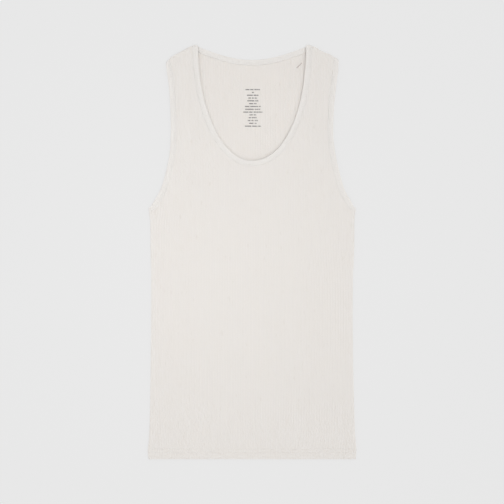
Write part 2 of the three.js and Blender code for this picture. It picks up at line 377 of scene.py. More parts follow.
def panel_top(x, y):
    """Height of the front's outer face."""
    x, y = np.broadcast_arrays(np.asarray(x, float), np.asarray(y, float))
    hem = (HEM_TOP - BODY_TOP) * fall(np.maximum(y - HEM_DEPTH, 0), HEM_REACH)
    neck = STRIP * fall(distance_to(NECK_FRONT, x, y) - BINDING_WIDTH, NECK_REACH)
    armhole = (ARMHOLE_TOP - STRIP - BODY_TOP) * fall(armhole_distance(x, y) - BINDING_WIDTH, ARMHOLE_REACH)
    lying = BODY_TOP + hem + np.maximum(neck, armhole) + swell(x, y)
    near = near_shoulder(x, y)
    return lying * (1 - near) + SHOULDER_TOP * near


print("the front stands", round(float(panel_top(0, 250)), 1), "mm high in the middle and",
      round(float(panel_top(72, 580)), 1), "mm at the right lip of the neckline")

# %% [markdown]
# Meshes from rings
#
# Every cloth piece here is a ring of points carried along: a panel's ring runs over its outer face and back
# along its inner one, a binding's ring is the section of a folded strip. Laying rings one after another gives
# an even grid of quads, which Blender shades smoothly and which stays closed.


# %% A mesh through rings
def make_object(name, points, faces):
    """A smooth-shaded object in metres from points in millimetres over the hem."""
    points = np.asarray(points, float).reshape(-1, 3) + (0, HEM_EDGE, 0)
    mesh = bpy.data.meshes.new(name)
    mesh.from_pydata((points * MM).tolist(), [], faces)
    mesh.update()
    mesh.shade_smooth()
    made = bpy.data.objects.new(name, mesh)
    bpy.context.scene.collection.objects.link(made)
    return made


def volume(points, faces):
    a, b, c = (points[faces[:, k]] for k in (0, 1, 2))
    d = points[faces[:, 3]]
    return float((a * np.cross(b, c)).sum() + (a * np.cross(c, d)).sum())


def ring_mesh(name, rings, loop):
    """A closed mesh through rings, an array of rings x points x 3."""
    count, around = rings.shape[:2]
    here = np.arange(count if loop else count - 1)[:, None]
    step = np.arange(around)[None]
    after, beside = (here + 1) % count, (step + 1) % around
    quads = [here * around + step, here * around + beside, after * around + beside, after * around + step]
    faces = np.stack(np.broadcast_arrays(*quads), -1).reshape(-1, 4)
    if not loop:
        k = np.arange(around // 2 - 1)
        cap = np.stack([k, around - 1 - k, around - 2 - k, k + 1], 1)
        faces = np.concatenate([faces, cap, cap[:, ::-1] + (count - 1) * around])
    points = rings.reshape(-1, 3)
    if volume(points, faces) < 0:
        faces = faces[:, ::-1]
    return make_object(name, points, faces.tolist())


# %% [markdown]
# Ribs
#
# Rib knit alternates raised wales and narrow grooves, so the cloth is a corrugated sheet of even thickness.
# The ribs run from hem to shoulder and spread with the garment, because they are the same stitches all the
# way: a rib is a fixed share of the width. They are real relief here, with four columns of points to a rib,
# and the single knit stitches, which are finer still, are left to the material.

# %% The relief of a rib
RIBS = 124  # across the garment
RIB_RELIEF = CLOTH - PLY
SAMPLES = 4  # columns for each rib
RIB_SHAPE = np.array([0.0, 0.72, 1.0, 0.72])  # groove, flank, crest, flank


def rib_profile(phase):
    """Height of the ribs, 0 in a groove and 1 on a crest, straight between the columns."""
    share = np.mod(phase, 1) * SAMPLES
    low = np.floor(share).astype(int) % SAMPLES
    part = share - np.floor(share)
    return RIB_SHAPE[low] * (1 - part) + RIB_SHAPE[(low + 1) % SAMPLES] * part


print("one rib is", round(2 * float(side_at(1, 277)) / RIBS, 2), "mm wide at the waist")

# %% [markdown]
# A panel's wall
#
# The front and back are the same kind of wall: flat across most of the garment, with a quarter turn at the
# sides and at the shoulders, where front and back meet in a seam. The back is the front's shape turned over
# on its own fold line, so its outer face comes out flat, on the table. Every point is given by its depth
# under the outer face. The hem is turned up, so the wall is double there, and two rows of stitches press it
# in.

# %% Points of a panel
HEM_STITCHES = (10.0, 15.6)  # heights of the twin-needle rows over the hem
STITCH_DENT = {"depth": 0.16, "reach": 0.8}
PRESSED = 0.75  # how much of the ribs' relief the seam of a binding presses out
PRESS_REACH = 4.0
ROLL = np.radians([18, 36, 54, 72, 90])
STRAP_START = 560.0


def columns():
    """Shares of the width and roll angles, from the left seam to the right one."""
    flat = np.linspace(0, 1, RIBS * SAMPLES + 1)
    share = np.concatenate([np.zeros(len(ROLL)), flat, np.ones(len(ROLL))])
    roll = np.concatenate([-ROLL[::-1], np.zeros(len(flat)), ROLL])
    return {"share": share, "roll": roll}


def rows():
    """Heights, shares of the bend to the shoulder line, and roll angles, from the hem up."""
    hem_edge, above_hem = [0, 0.15, HEM_ROUND, 4, 8], [HEM_DEPTH, 19, 21, 24, 30]
    stitched = np.arange(9, 17, 0.5)  # close enough to show how the stitches press the cloth in
    hem = np.concatenate([hem_edge, stitched, above_hem])
    trunk = np.linspace(38, STRAP_START, 50)
    strap = np.linspace(0, 1, 13)[1:]
    count = len(hem) + len(trunk)
    h = np.concatenate([hem, trunk, np.full(len(strap) + len(ROLL), STRAP_START)])
    bend = np.concatenate([np.zeros(count), strap, np.ones(len(ROLL))])
    roll = np.concatenate([np.zeros(count + len(strap)), ROLL])
    return {"h": h, "bend": bend, "roll": roll}


def binding_distance(front, x, y):
    """Distance from the nearest finished edge that has a binding."""
    neck = NECK_FRONT if front else NECK_BACK
    return np.minimum(distance_to(neck, x, y), armhole_distance(x, y))


def dent(y):
    """How far the stitches pull the cloth in."""
    pulled = [np.exp(-(((y - row) / STITCH_DENT["reach"]) ** 2)) for row in HEM_STITCHES]
    return STITCH_DENT["depth"] * sum(pulled)


def place_on_panel(front, row, column):
    """Plan points, heights and resting depth of the outer face for rows and columns."""
    h, bend = row["h"][:, None], row["bend"][:, None]
    ends = []
    for sign in (-1, 1):
        edge = sign * side_at(sign, h)
        ends.append(edge - sign * panel_top(edge, h) / 2)
    x = ends[0] + (ends[1] - ends[0]) * column["share"]
    y = h + bend * (shoulder_fold(x) - h)
    top = panel_top(x, y)
    flat = (row["roll"][:, None] == 0) & (column["roll"] == 0)
    beside = binding_distance(front, x, y) - BINDING_WIDTH
    tucked = STRIP * fall(beside, BINDING_WIDTH)
    if front:
        top = top + bells(CREASES, x, y) * calm(x, y) * flat
        depth = tucked * near_shoulder(x, y)
    else:
        depth = tucked + bells(BACK_SWELLS, x, y) * flat
    depth = depth + dent(y)
    pressed = 1 - PRESSED * fall(beside, PRESS_REACH)
    return x, y, top, depth, pressed


def raise_wall(front, row, column, placed, under):
    """Points that lie at a depth under the outer face, rolled over at sides and shoulders."""
    x, y, top, depth, _ = placed
    depth = depth + under
    radius = (top - SEAM) / 2 - depth
    across = np.broadcast_to(column["roll"], x.shape)
    up = np.broadcast_to(row["roll"][:, None], x.shape)
    turned = np.maximum(np.abs(across), up)
    z = np.where(turned > 0, (top + SEAM) / 2 + radius * np.cos(turned), top - depth)
    y = y + radius * np.sin(up)
    x = x + np.where(up > 0, 0, radius * np.sin(across))
    return np.stack([x, y, z if front else top - z], -1)


def panel_wall(name, front):
    """The whole blank of a panel, before its neck and armholes are cut."""
    row, column = rows(), columns()
    placed = place_on_panel(front, row, column)
    relief = RIB_RELIEF * (1 - rib_profile(column["share"] * RIBS))
    relief = np.where(column["roll"] == 0, relief, 0)[None] * placed[-1]
    h = row["h"][:, None]
    in_hem = (h < HEM_DEPTH) & (row["bend"][:, None] == 0)
    ply = np.where(in_hem, HEM_THICK - RIB_RELIEF, PLY)
    rounded = HEM_ROUND * np.clip(1 - h / HEM_ROUND, 0, 1) ** 2
    outer = raise_wall(front, row, column, placed, relief + rounded)
    inner = raise_wall(front, row, column, placed, relief + ply - rounded)
    return ring_mesh(name, np.concatenate([outer, inner[:, ::-1]], 1), loop=False)


# %% [markdown]
# Bindings
#
# A binding is a strip of the same rib, folded over the raw edge and stitched through. At each place along an
# edge it needs the edge point and the direction from there into the cloth. In the run that direction is
# square to the edge, and near a fold it swings round to lie along the fold line, as a real strip fans round a
# corner.


# %% Places along an edge
FAN = 14.0  # how far from a fold the strip starts to swing round
UP, DOWN, LEFT, RIGHT = np.array([[0, 1], [0, -1], [-1, 0], [1, 0]], float)


def swing(angle, target, share):
    turn = np.arctan2(np.sin(target - angle), np.cos(target - angle))
    return angle + turn * share


def places(edge, cloth_side, start_into, end_into):
    """Edge points and their directions into the cloth."""
    along = np.gradient(edge, axis=0)
    angle = np.arctan2(-along[:, 0] * cloth_side, along[:, 1] * cloth_side)
    for end, into in ((edge[0], start_into), (edge[-1], end_into)):
        target = math.atan2(into[1], into[0])
        angle = swing(angle, target, fall(np.linalg.norm(edge - end, axis=1), FAN))
    return edge, np.stack([np.cos(angle), np.sin(angle)], 1)


def respaced(place, step):
    """The same places at an even step along the edge."""
    edge, into = place
    run = np.concatenate([[0], np.cumsum(np.linalg.norm(np.diff(edge, axis=0), axis=1))])
    wanted = np.linspace(0, run[-1], max(round(run[-1] / step), 2) + 1)
    take = lambda values: np.stack([np.interp(wanted, run, values[:, k]) for k in (0, 1)], 1)
    into = take(into)
    return take(edge), into / np.linalg.norm(into, axis=1)[:, None]


def armhole_places(sign):
    inward = sign * SHOULDERS["out"][-2]
    along_shoulder = np.array([inward, float(shoulder_fold(inward))]) - ARMHOLE[sign][-1]
    return places(ARMHOLE[sign], -sign, DOWN, along_shoulder)


FRONT_NECK_PLACES = places(NECK_FRONT, 1, LEFT, RIGHT)
BACK_NECK_PLACES = places(NECK_BACK, -1, RIGHT, LEFT)
ARMHOLE_PLACES = {sign: armhole_places(sign) for sign in (-1, 1)}

# %% [markdown]
# A strip that rolls over
#
# A binding is one closed loop: along the front, over a fold, along the back and over the other fold. Each run
# gives a list of stations, and a station turns a distance across the strip and a depth under its outer face
# into a point. The ribs of the strip run across it, so its relief changes from station to station.

# %% Stations of a strip
BINDING_RIB = 2.6  # width of a rib along the strip
TURN_STEPS = 9


def plan(place, across):
    edge, into = place
    return edge[:, None] + into[:, None] * across[None, :, None]


def on_front(place, resting_top):
    def lay(across, depth):
        xy = plan(place, across)
        x, y = xy[..., 0], xy[..., 1]
        near = near_shoulder(x, y)
        top = (resting_top + swell(x, y)) * (1 - near) + SHOULDER_TOP * near
        return np.concatenate([xy, (top - depth)[..., None]], -1)

    return lay, len(place[0])


def on_back(place):
    def lay(across, depth):
        xy = plan(place, across)
        return np.concatenate([xy, np.broadcast_to(depth, xy.shape[:2])[..., None]], -1)

    return lay, len(place[0])


def over_fold(place, end, top, out):
    """A half turn at one end of a run, towards the direction out."""
    one = tuple(values[end][None] for values in place)
    angle = np.pi * np.arange(1, TURN_STEPS)[:, None] / TURN_STEPS

    def lay(across, depth):
        radius = top / 2 - depth
        reach = (radius * np.sin(angle))[..., None]
        xy = plan(one, across) + reach * out
        return np.concatenate([xy, (top / 2 + radius * np.cos(angle))[..., None]], -1)

    return lay, TURN_STEPS - 1


def reverse(run):
    lay, count = run
    return (lambda across, depth: lay(across, depth[::-1])[::-1]), count


def along_loop(runs, across, depth):
    """Points all round a loop of runs. depth has one row for each station of the whole loop."""
    found, start = [], 0
    for lay, count in runs:
        found.append(lay(across, depth[start : start + count]))
        start += count
    return np.concatenate(found)


def neck_runs():
    step = BINDING_RIB / SAMPLES
    front, back = respaced(FRONT_NECK_PLACES, step), respaced(BACK_NECK_PLACES, step)
    return [
        on_front(front, SCOOP_TOP),
        over_fold(back, 0, SHOULDER_TOP, UP),
        on_back(back),
        reverse(over_fold(back, -1, SHOULDER_TOP, UP)),
    ]


def armhole_runs(sign):
    place = respaced(ARMHOLE_PLACES[sign], BINDING_RIB / SAMPLES)
    return [
        on_front(place, ARMHOLE_TOP),
        over_fold(place, -1, SHOULDER_TOP, UP),
        reverse(on_back(place)),
        reverse(over_fold(place, 0, ARMHOLE_TOP, LEFT if sign < 0 else RIGHT)),
    ]


# %% [markdown]
# The folded strip
#
# The section of a binding is a U: an upper leg, a round edge and a lower leg, with the panel's raw edge held
# between the legs. A groove near its inner side is where the stitches pull it down.

# %% Section of a binding
BINDING_STITCH = 6.2  # from the finished edge, mm
OUTER = table(
    "across depth",
    (8.5, 0.62),
    (8.2, 0.34),
    (7.4, 0.08),
    (6.8, 0.1),
    (6.2, 0.2),
    (5.6, 0.1),
    (5, 0),
    (3.4, 0),
    (1.6, 0),
    (0.8, 0.06),
    (0.25, 0.35),
    (0, 1),
    (0.25, 1.65),
    (0.8, 1.94),
    (1.6, 2),
    (5, 2),
    (6.2, 1.8),
    (7.4, 1.95),
    (8.2, 1.66),
    (8.5, 1.38),
)
INNER = table("across depth", (8.1, 1.4), (5, 1.52), (1.4, 1.5), (0.7, 1), (1.4, 0.5), (5, 0.48), (8.1, 0.6))
STRIP_RELIEF = 0.16


def binding_strip(name, runs):
    """A ribbed strip folded round its edge, all round a loop."""
    count = sum(length for _, length in runs)
    ribs = round(count / SAMPLES)
    relief = STRIP_RELIEF * (1 - rib_profile(np.arange(count) / count * ribs))[:, None]
    middle = BINDING_THICK / 2
    outer_depth = OUTER["depth"] + relief * (middle - OUTER["depth"]) / middle
    outer = along_loop(runs, OUTER["across"], outer_depth)
    inner_depth = np.broadcast_to(INNER["depth"], (count, len(INNER["depth"])))
    inner = along_loop(runs, INNER["across"], inner_depth)
    made = ring_mesh(name, np.concatenate([outer, inner], 1), loop=True)
    knit = np.zeros((count, outer.shape[1] + inner.shape[1], 3))
    knit[..., 0] = (np.arange(count) / count * ribs)[:, None]
    knit[..., 1] = np.concatenate([OUTER["across"], INNER["across"]])
    return mark_knit(made, knit.reshape(-1, 3))


def mark_knit(made, knit):
    """Stores where each point lies in the knit: ribs across, and millimetres along them."""
    layer = made.data.attributes.new("knit", "FLOAT_VECTOR", "POINT")
    layer.data.foreach_set("vector", np.asarray(knit, np.float32).ravel())
    return made


# %% [markdown]
# Cutting the panels
#
# A cutter lays a pattern on the cloth and cuts round it. Here a deep prism with the pattern's edge is taken
# away from each blank with a Boolean modifier. Its Manifold solver is quick and exact on closed meshes such
# as these. The cut runs a little inside the fold of the binding, so the raw edge ends up in the strip, as it
# does in the real garment.

# %% Cutters and cut panels
TUCK = 1.3  # the raw edge ends this far inside the finished edge
CUT_MARGIN = 12.0
CUT_STEP = 2.5


def cutter(place, start_out, end_out, corners=()):
    """A prism over all that lies past a cut line."""
    edge = plan(respaced(place, CUT_STEP), np.array([TUCK]))[:, 0]
    outline = [edge[0] + start_out * CUT_MARGIN, *edge, edge[-1] + end_out * CUT_MARGIN, *corners]
    count = len(outline)
    flat = np.array(outline)
    points = np.concatenate([np.c_[flat, np.full(count, z)] for z in (-CUT_MARGIN, CUT_MARGIN)])
    k = np.arange(count)
    walls = np.stack([k, (k + 1) % count, (k + 1) % count + count, k + count], 1).tolist()
    prism = make_object("cutter", points, [list(k[::-1]), list(k + count), *walls])
    bpy.context.view_layer.objects.active = prism
    bpy.ops.object.mode_set(mode="EDIT")
    bpy.ops.mesh.select_all(action="SELECT")
    bpy.ops.mesh.normals_make_consistent(inside=False)
    bpy.ops.object.mode_set(mode="OBJECT")
    return prism


def armhole_cutter(sign):
    corner = np.array([sign * (SIDES["left"][-1] + CUT_MARGIN), LENGTH + CUT_MARGIN])
    return cutter(ARMHOLE_PLACES[sign], LEFT if sign < 0 else RIGHT, UP, [corner])


def cut_away(made, cutters):
    for one in cutters:
        cut = made.modifiers.new("cut", "BOOLEAN")
        cut.operation = "DIFFERENCE"
        cut.solver = "MANIFOLD"
        cut.object = one
    bpy.context.view_layer.update()
    shown = made.evaluated_get(bpy.context.evaluated_depsgraph_get())
    mesh = bpy.data.meshes.new_from_object(shown)
    made.modifiers.clear()
    made.data = mesh
    mesh.name = made.name
    mesh.shade_smooth()
    for one in cutters:
        bpy.data.objects.remove(one)
    return made


def panel(name, front):
    made = panel_wall(name, front)
    neck = cutter(FRONT_NECK_PLACES if front else BACK_NECK_PLACES, UP, UP)
    cut_away(made, [neck, armhole_cutter(-1), armhole_cutter(1)])
    points = np.empty(len(made.data.vertices) * 3)
    made.data.vertices.foreach_get("co", points)
    x, y, _ = points.reshape(-1, 3).T / MM
    share = (x / side_at(x, y - HEM_EDGE) + 1) / 2
    mark_knit(made, np.stack([share * RIBS, y, 0 * y], 1))
    print(name, len(made.data.vertices), "points")
    return made


front_cloth = panel("front_cloth", True)
back_cloth = panel("back_cloth", False)

# %% [markdown]
# The three strips
#
# One strip runs round the neck, down the scoop and over both shoulders. The other two go round the armholes,
# over a shoulder at the top and round the side fold under the arm.

# %% Bindings
neck_rib = binding_strip("neck_rib", neck_runs())
armhole_rib = {
    -1: binding_strip("armhole_rib_left", armhole_runs(-1)),
    1: binding_strip("armhole_rib_right", armhole_runs(1)),
}
print("neck strip", len(neck_rib.data.vertices), "points")

# %% [markdown]
# Stitches
#
# Machine stitches show as short threads that lie in the groove they press. Each is a small six-sided spindle,
# bowed up in its middle, and its two ends go down into the cloth. One function sets them along any line of
# points, and one mesh holds a whole row, because hundreds of loose objects would be slow to handle.

# %% Rows of stitches
STITCH = {"pitch": 3.1, "length": 2.4, "half": 0.22, "bow": 0.1, "sunk": 0.26}
SPINDLE = table("along size", (-0.5, 0.35), (-0.3, 0.95), (0, 1), (0.3, 0.95), (0.5, 0.35))
SPINDLE_SIDES = 6


def stitch_row(name, path, normal, loop):
    """A row of stitches along a line of points on the cloth, with the cloth's normals."""
    if loop:
        path, normal = np.concatenate([path, path[:1]]), np.concatenate([normal, normal[:1]])
    run = np.concatenate([[0], np.cumsum(np.linalg.norm(np.diff(path, axis=0), axis=1))])
    count = int(run[-1] / STITCH["pitch"])
    middle = (np.arange(count) + 0.5) * run[-1] / count
    at = middle[:, None] + SPINDLE["along"] * STITCH["length"]
    take = lambda values, s: np.stack([np.interp(s, run, values[:, k]) for k in range(3)], -1)
    centre, up = take(path, at), take(normal, at)
    up /= np.linalg.norm(up, axis=-1)[..., None]
    forward = take(path, middle + 0.1) - take(path, middle - 0.1)
    aside = np.cross(forward[:, None], up)
    aside /= np.linalg.norm(aside, axis=-1)[..., None]
    bow = STITCH["bow"] * (1 - (2 * SPINDLE["along"]) ** 2) - STITCH["bow"] / 2
    centre = centre + up * bow[:, None]
    angle = 2 * np.pi * np.arange(SPINDLE_SIDES) / SPINDLE_SIDES
    size = (STITCH["half"] * SPINDLE["size"])[:, None, None]
    round_it = np.cos(angle)[:, None] * aside[..., None, :] + np.sin(angle)[:, None] * up[..., None, :]
    points = centre[..., None, :] + size * round_it
    return make_object(name, points, spindle_faces(count))


def bar_faces(start, rings, sides):
    """Faces of a closed bar: its two ends, then the sides between each ring and the next."""
    last = start + (rings - 1) * sides
    faces = [[start + k for k in range(sides)], [last + k for k in reversed(range(sides))]]
    for low in range(start, last, sides):
        for k in range(sides):
            n = (k + 1) % sides
            faces.append([low + n, low + k, low + sides + k, low + sides + n])
    return faces


def spindle_faces(count):
    rings = len(SPINDLE["along"])
    faces = []
    for start in range(0, count * rings * SPINDLE_SIDES, rings * SPINDLE_SIDES):
        faces += bar_faces(start, rings, SPINDLE_SIDES)
    return faces


def binding_stitches(name, runs):
    count = sum(length for _, length in runs)
    across = np.array([BINDING_STITCH])
    at = along_loop(runs, across, np.full((count, 1), STITCH["sunk"]))[:, 0]
    above = along_loop(runs, across, np.full((count, 1), STITCH["sunk"] - 1))[:, 0]
    return stitch_row(name, at, above - at, loop=True)


def hem_stitches(name, front, height):
    row = {"h": np.array([height]), "bend": np.zeros(1), "roll": np.zeros(1)}
    column = columns()
    placed = place_on_panel(front, row, column)
    at = raise_wall(front, row, column, placed, STITCH["sunk"] - STITCH_DENT["depth"])[0]
    above = raise_wall(front, row, column, placed, -1.0)[0]
    return stitch_row(name, at, above - at, loop=False)


neck_stitches = binding_stitches("neck_stitches", neck_runs())
armhole_stitches = {
    -1: binding_stitches("armhole_stitches_left", armhole_runs(-1)),
    1: binding_stitches("armhole_stitches_right", armhole_runs(1)),
}
front_hem = [hem_stitches(f"front_hem_row_{k}", True, h) for k, h in enumerate(HEM_STITCHES, 1)]
back_hem = [hem_stitches(f"back_hem_row_{k}", False, h) for k, h in enumerate(HEM_STITCHES, 1)]
print("a hem row has", len(front_hem[0].data.vertices) // (5 * SPINDLE_SIDES), "stitches")

# %% [markdown]
# The printed block
#
# Such a top has no sewn label: its size and care block is printed on the inside of the back, to be soft on
# the skin. Only its place and greyness matter here, so plain dashes stand in for it. Ink lies on the ribs,
# and so each dash is a very thin film that follows the cloth's own relief.

# %% Dashes of ink
BLOCK = {"x": 1.2, "top": 571.1, "pitch": 4.35, "tall": 1.5, "film": 0.05}
DASHES = [
    (6, 5, 9),
    (3,),
    (9, 8),
    (4, 3, 4),
    (11, 5),
    (6, 4),
    (7, 12, 3),
    (13, 9),
    (8, 5, 14),
    (5, 4),
    (3, 8),
    (4, 4, 5),
    (7, 3),
    (10, 7, 5),
]
DASH_GAP = 1.3
DASH_STEP = 0.3  # how closely a dash follows the ribs


def back_inside(x, y):
    """Height of the back's inner face."""
    share = (x / side_at(x, y) + 1) / 2
    relief = RIB_RELIEF * (1 - rib_profile(share * RIBS))
    return PLY + relief + bells(BACK_SWELLS, x, y)


def ink_block(name):
    points, faces = [], []
    for line, lengths in enumerate(DASHES):
        y = BLOCK["top"] - line * BLOCK["pitch"]
        x = BLOCK["x"] - (sum(lengths) + DASH_GAP * (len(lengths) - 1)) / 2
        for length in lengths:
            along = np.linspace(x, x + length, max(round(length / DASH_STEP), 3) + 1)
            low, high = y - BLOCK["tall"] / 2, y + BLOCK["tall"] / 2
            lift = np.array([[low, -1], [low, 1], [high, 1], [high, -1]])
            ring = [[(a, b, back_inside(a, b) + s * BLOCK["film"]) for b, s in lift] for a in along]
            start = len(points)
            points += [point for four in ring for point in four]
            faces += bar_faces(start, len(along), 4)
            x += length + DASH_GAP
    return make_object(name, points, faces)


printed_block = ink_block("printed_block")
print("printed block of", sum(map(len, DASHES)), "dashes")

# %% [markdown]
# A tacking stitch
#
# Inside the back, by the right shoulder, a short dark thread crosses the corner of the neckline. It is a thin
# curve with a round section, turned into a mesh so that it is exported like the rest.

# %% The tack
TACK = [(68.8, 604.6, 0.95), (70.6, 606, 1.5), (73.2, 608.2, 1.62), (75.6, 610.8, 1.5), (76.8, 612.6, 0.9)]
TACK_HALF = 0.32


def thread(name, points, half):
    curve = bpy.data.curves.new(name, "CURVE")
    curve.dimensions = "3D"
    curve.bevel_depth = half * MM
    curve.bevel_resolution = 3
    curve.use_fill_caps = True
    spline = curve.splines.new("NURBS")
    spline.points.add(len(points) - 1)
    for point, (x, y, z) in zip(spline.points, points):
        point.co = (x * MM, (y + HEM_EDGE) * MM, z * MM, 1)
    spline.use_endpoint_u = True
    spline.order_u = 4
    drawn = bpy.data.objects.new(name, curve)
    bpy.context.scene.collection.objects.link(drawn)
    mesh = bpy.data.meshes.new_from_object(drawn.evaluated_get(bpy.context.evaluated_depsgraph_get()))
    bpy.data.objects.remove(drawn)
    mesh.name = name
    mesh.shade_smooth()
    made = bpy.data.objects.new(name, mesh)
    bpy.context.scene.collection.objects.link(made)
    return made


neck_tack = thread("neck_tack", TACK, TACK_HALF)

# %% [markdown]
# Writing shaders as sums
#
# Node trees are hard to read as lists of links. A small class that wraps a socket and overloads the operators
# lets a mask or a height be written as an ordinary expression, and each operator adds its Math node. Colours
# go through Mix nodes instead, because a Math node turns a colour grey.


# %% Sockets with operators
class Socket:
    def __init__(self, finish, socket):
        self.finish = finish
        self.socket = socket

    def math(self, operation, *values):
        inputs = dict(enumerate(values))
        return self.finish.node("ShaderNodeMath", {"operation": operation}, inputs)

    def __add__(self, other):
        return self.math("ADD", self, other)

    def __sub__(self, other):
        return self.math("SUBTRACT", self, other)

    def __rsub__(self, other):
        return self.math("SUBTRACT", other, self)

    def __mul__(self, other):
        return self.math("MULTIPLY", self, other)

    def __pow__(self, other):
        return self.math("POWER", self, other)

    def __abs__(self):
        return self.math("ABSOLUTE", self)

    def fraction(self):
        return self.math("FRACT", self)

    def cosine(self):
        return self.math("COSINE", self)

    __radd__ = __add__
    __rmul__ = __mul__


class Finish:
    """A material in the making."""

    def __init__(self, name, **surface):
        self.material = bpy.data.materials.new(name)
        self.material.use_nodes = True
        self.tree = self.material.node_tree
        self.shader = self.tree.nodes["Principled BSDF"]
        for key, value in surface.items():
            self.shader.inputs[key.replace("_", " ")].default_value = value

    def node(self, kind, settings=None, inputs=None, out=0):
        """Adds a node: its settings first, then the values or links of its sockets."""
        made = self.tree.nodes.new(kind)
        for key, value in (settings or {}).items():
            if key == "stops":
                for stop, (place, colour) in zip(made.color_ramp.elements, value):
                    stop.position, stop.color = place, (*colour, 1)
            else:
                setattr(made, key, value)
        for key, value in (inputs or {}).items():
            self.feed(made.inputs[key], value)
        return Socket(self, made.outputs[out])

    def feed(self, socket, value):
        if isinstance(value, Socket):
            self.tree.links.new(value.socket, socket)
        else:
            socket.default_value = value

    def surface(self, name, value):
        self.feed(self.shader.inputs[name], value)

    def mix(self, share, first, second):
        """A blend of two colours."""
        settings = {"data_type": "RGBA"}
        colours = {6: self.colour(first), 7: self.colour(second)}
        return self.node("ShaderNodeMix", settings, {0: share, **colours}, out=2)

    @staticmethod
    def colour(value):
        return value if isinstance(value, Socket) else (*value, 1)

    def noise(self, where, scale, detail=3.0):
        return self.node("ShaderNodeTexNoise", {}, {"Vector": where, "Scale": scale, "Detail": detail})


# %% [markdown]
# Ivory rib cotton
#
# Seen closely, each wale is a column of knit stitches, little V shapes a millimetre tall, and the yarn is
# fuzzy. The stitches and fuzz are bump, on top of the real ribs, and the gaps between the stitches are also
# painted darker, as painted shade. The colour is a warm white, uneven in soft clouds as undyed cotton is, with
# painted shade in the grooves, a touch darker and warmer, in place of the shadow the fine ribs cast there.
# Cotton has a soft sheen from its fuzz, so the Principled shader's sheen is used, with a high roughness. Light
# also spreads inside white cotton, which softens the shadows in its folds and under its lips, and that is
# subsurface light with a depth of half a millimetre or so. The back and the strips are the same cloth, with
# the back's colour painted a little darker, as painted shade, and the strips' a little paler, as painted
# light.

# %% The rib's material
IVORY = (0.815, 0.791, 0.768)
# painted shade for the grooves and the gaps between stitches, and the darker yarn of the slubs
IVORY_PAINTED_SHADE_AND_SLUB = (0.735, 0.7, 0.66)
IVORY_WARM = (0.818, 0.784, 0.744)
COURSE = 1.15  # height of one knit stitch, mm
WALES = 2.0  # columns of stitches in a rib
LIGHT_DEPTH = 0.6 * MM  # how far light spreads in the cotton
PANEL_INSIDE = 1.0  # share of the light that enters an open knit
STRIP_INSIDE = 0.6  # the same for a strip, which is folded and pressed
BACK_PAINTED_SHADE = 0.985  # painted shade: the back's colour against the front's, the same cloth made darker
# painted light: the strips' colour against the front's, the same cloth made paler
STRIP_PAINTED_LIGHT = 1.012
GROOVE_PAINTED_SHADE = 0.36  # painted shade: how much darker a rib's groove is painted
STITCH_GAP_PAINTED_SHADE = 0.18  # painted shade: how much darker the gaps between stitches are painted
STITCH_SLANT = 0.9  # share of a course by which a stitch's arms climb
CLOUD_SCALE = 22.0  # noise features in a metre
FIBRE_SCALE = 1700.0
KNIT_BUMP = 0.3 * MM


def slubs(knit, across, along):
    """Rare short stretches of thicker yarn, a few wales wide and some stitches long."""
    stretched = knit.node("ShaderNodeCombineXYZ", {}, {0: across * 0.45, 1: along * 0.06})
    spots = knit.noise(stretched, 1.0, 1.0)
    return knit.node("ShaderNodeMapRange", {}, {0: spots, 1: 0.68, 2: 0.8, 3: 0.0, 4: 0.5})


def rib_cotton(name, share, pale):
    """Knit cotton over the stored knit places, with the share of light that spreads inside it; pale scales the
    colour, above 1 as painted light and below 1 as painted shade.
    """
    light, shade, warm = (tuple(pale * part for part in one) for one in (IVORY, IVORY_PAINTED_SHADE_AND_SLUB, IVORY_WARM))
    fuzz = {"Roughness": 0.9, "Sheen_Weight": 0.25, "Sheen_Roughness": 0.6, "Specular_IOR_Level": 0.25}
    inside = {"Subsurface_Weight": share, "Subsurface_Radius": (1, 1, 1), "Subsurface_Scale": LIGHT_DEPTH}
    knit = Finish(name, **fuzz, **inside)
    place = knit.node("ShaderNodeAttribute", {"attribute_name": "knit"}, out=1)
    across = knit.node("ShaderNodeSeparateXYZ", {}, {0: place}, out=0)
    along = knit.node("ShaderNodeSeparateXYZ", {}, {0: place}, out=1)
    metres = knit.node("ShaderNodeTexCoord", {}, out=3)

    wale = (across * WALES).fraction()
    arm = abs(wale - 0.5)
    stitch = (along * (1 / COURSE) + arm * STITCH_SLANT).fraction()
    loop = (stitch * (2 * math.pi)).cosine() * 0.5 + 0.5
    yarn = (arm * (4 * math.pi)).cosine() * -0.5 + 0.5
    stitches = loop * 0.6 + yarn * 0.4

    clouds = knit.noise(metres, CLOUD_SCALE, 2.0)
    fibres = knit.noise(metres, FIBRE_SCALE, 4.0)
    # painted shade: the grooves and the gaps between stitches are mixed towards the darker colour in place of
    # their shadows
    groove = (abs(across.fraction() - 0.5) * 2) ** 3
    colour = knit.mix(groove * GROOVE_PAINTED_SHADE, light, shade)
    colour = knit.mix(clouds * 0.5, colour, warm)
    colour = knit.mix((1 - stitches) * STITCH_GAP_PAINTED_SHADE, colour, shade)
    colour = knit.mix(slubs(knit, across, along), colour, shade)
    knit.surface("Base Color", colour)
    knit.surface("Roughness", 0.84 + fibres * 0.14)

    height = stitches * 0.7 + fibres * 0.5
    bump = {"Strength": 0.6, "Distance": KNIT_BUMP, "Height": height}
    knit.surface("Normal", knit.node("ShaderNodeBump", {}, bump))
    return knit.material


front_cotton = rib_cotton("front_cotton", PANEL_INSIDE, 1.0)
# the back is the front's cloth with painted shade, a little darker
back_cotton_painted_shade = rib_cotton("back_cotton_painted_shade", PANEL_INSIDE, BACK_PAINTED_SHADE)
# the strips are the front's cloth with painted light, a little paler
strip_cotton_painted_light = rib_cotton("strip_cotton_painted_light", STRIP_INSIDE, STRIP_PAINTED_LIGHT)

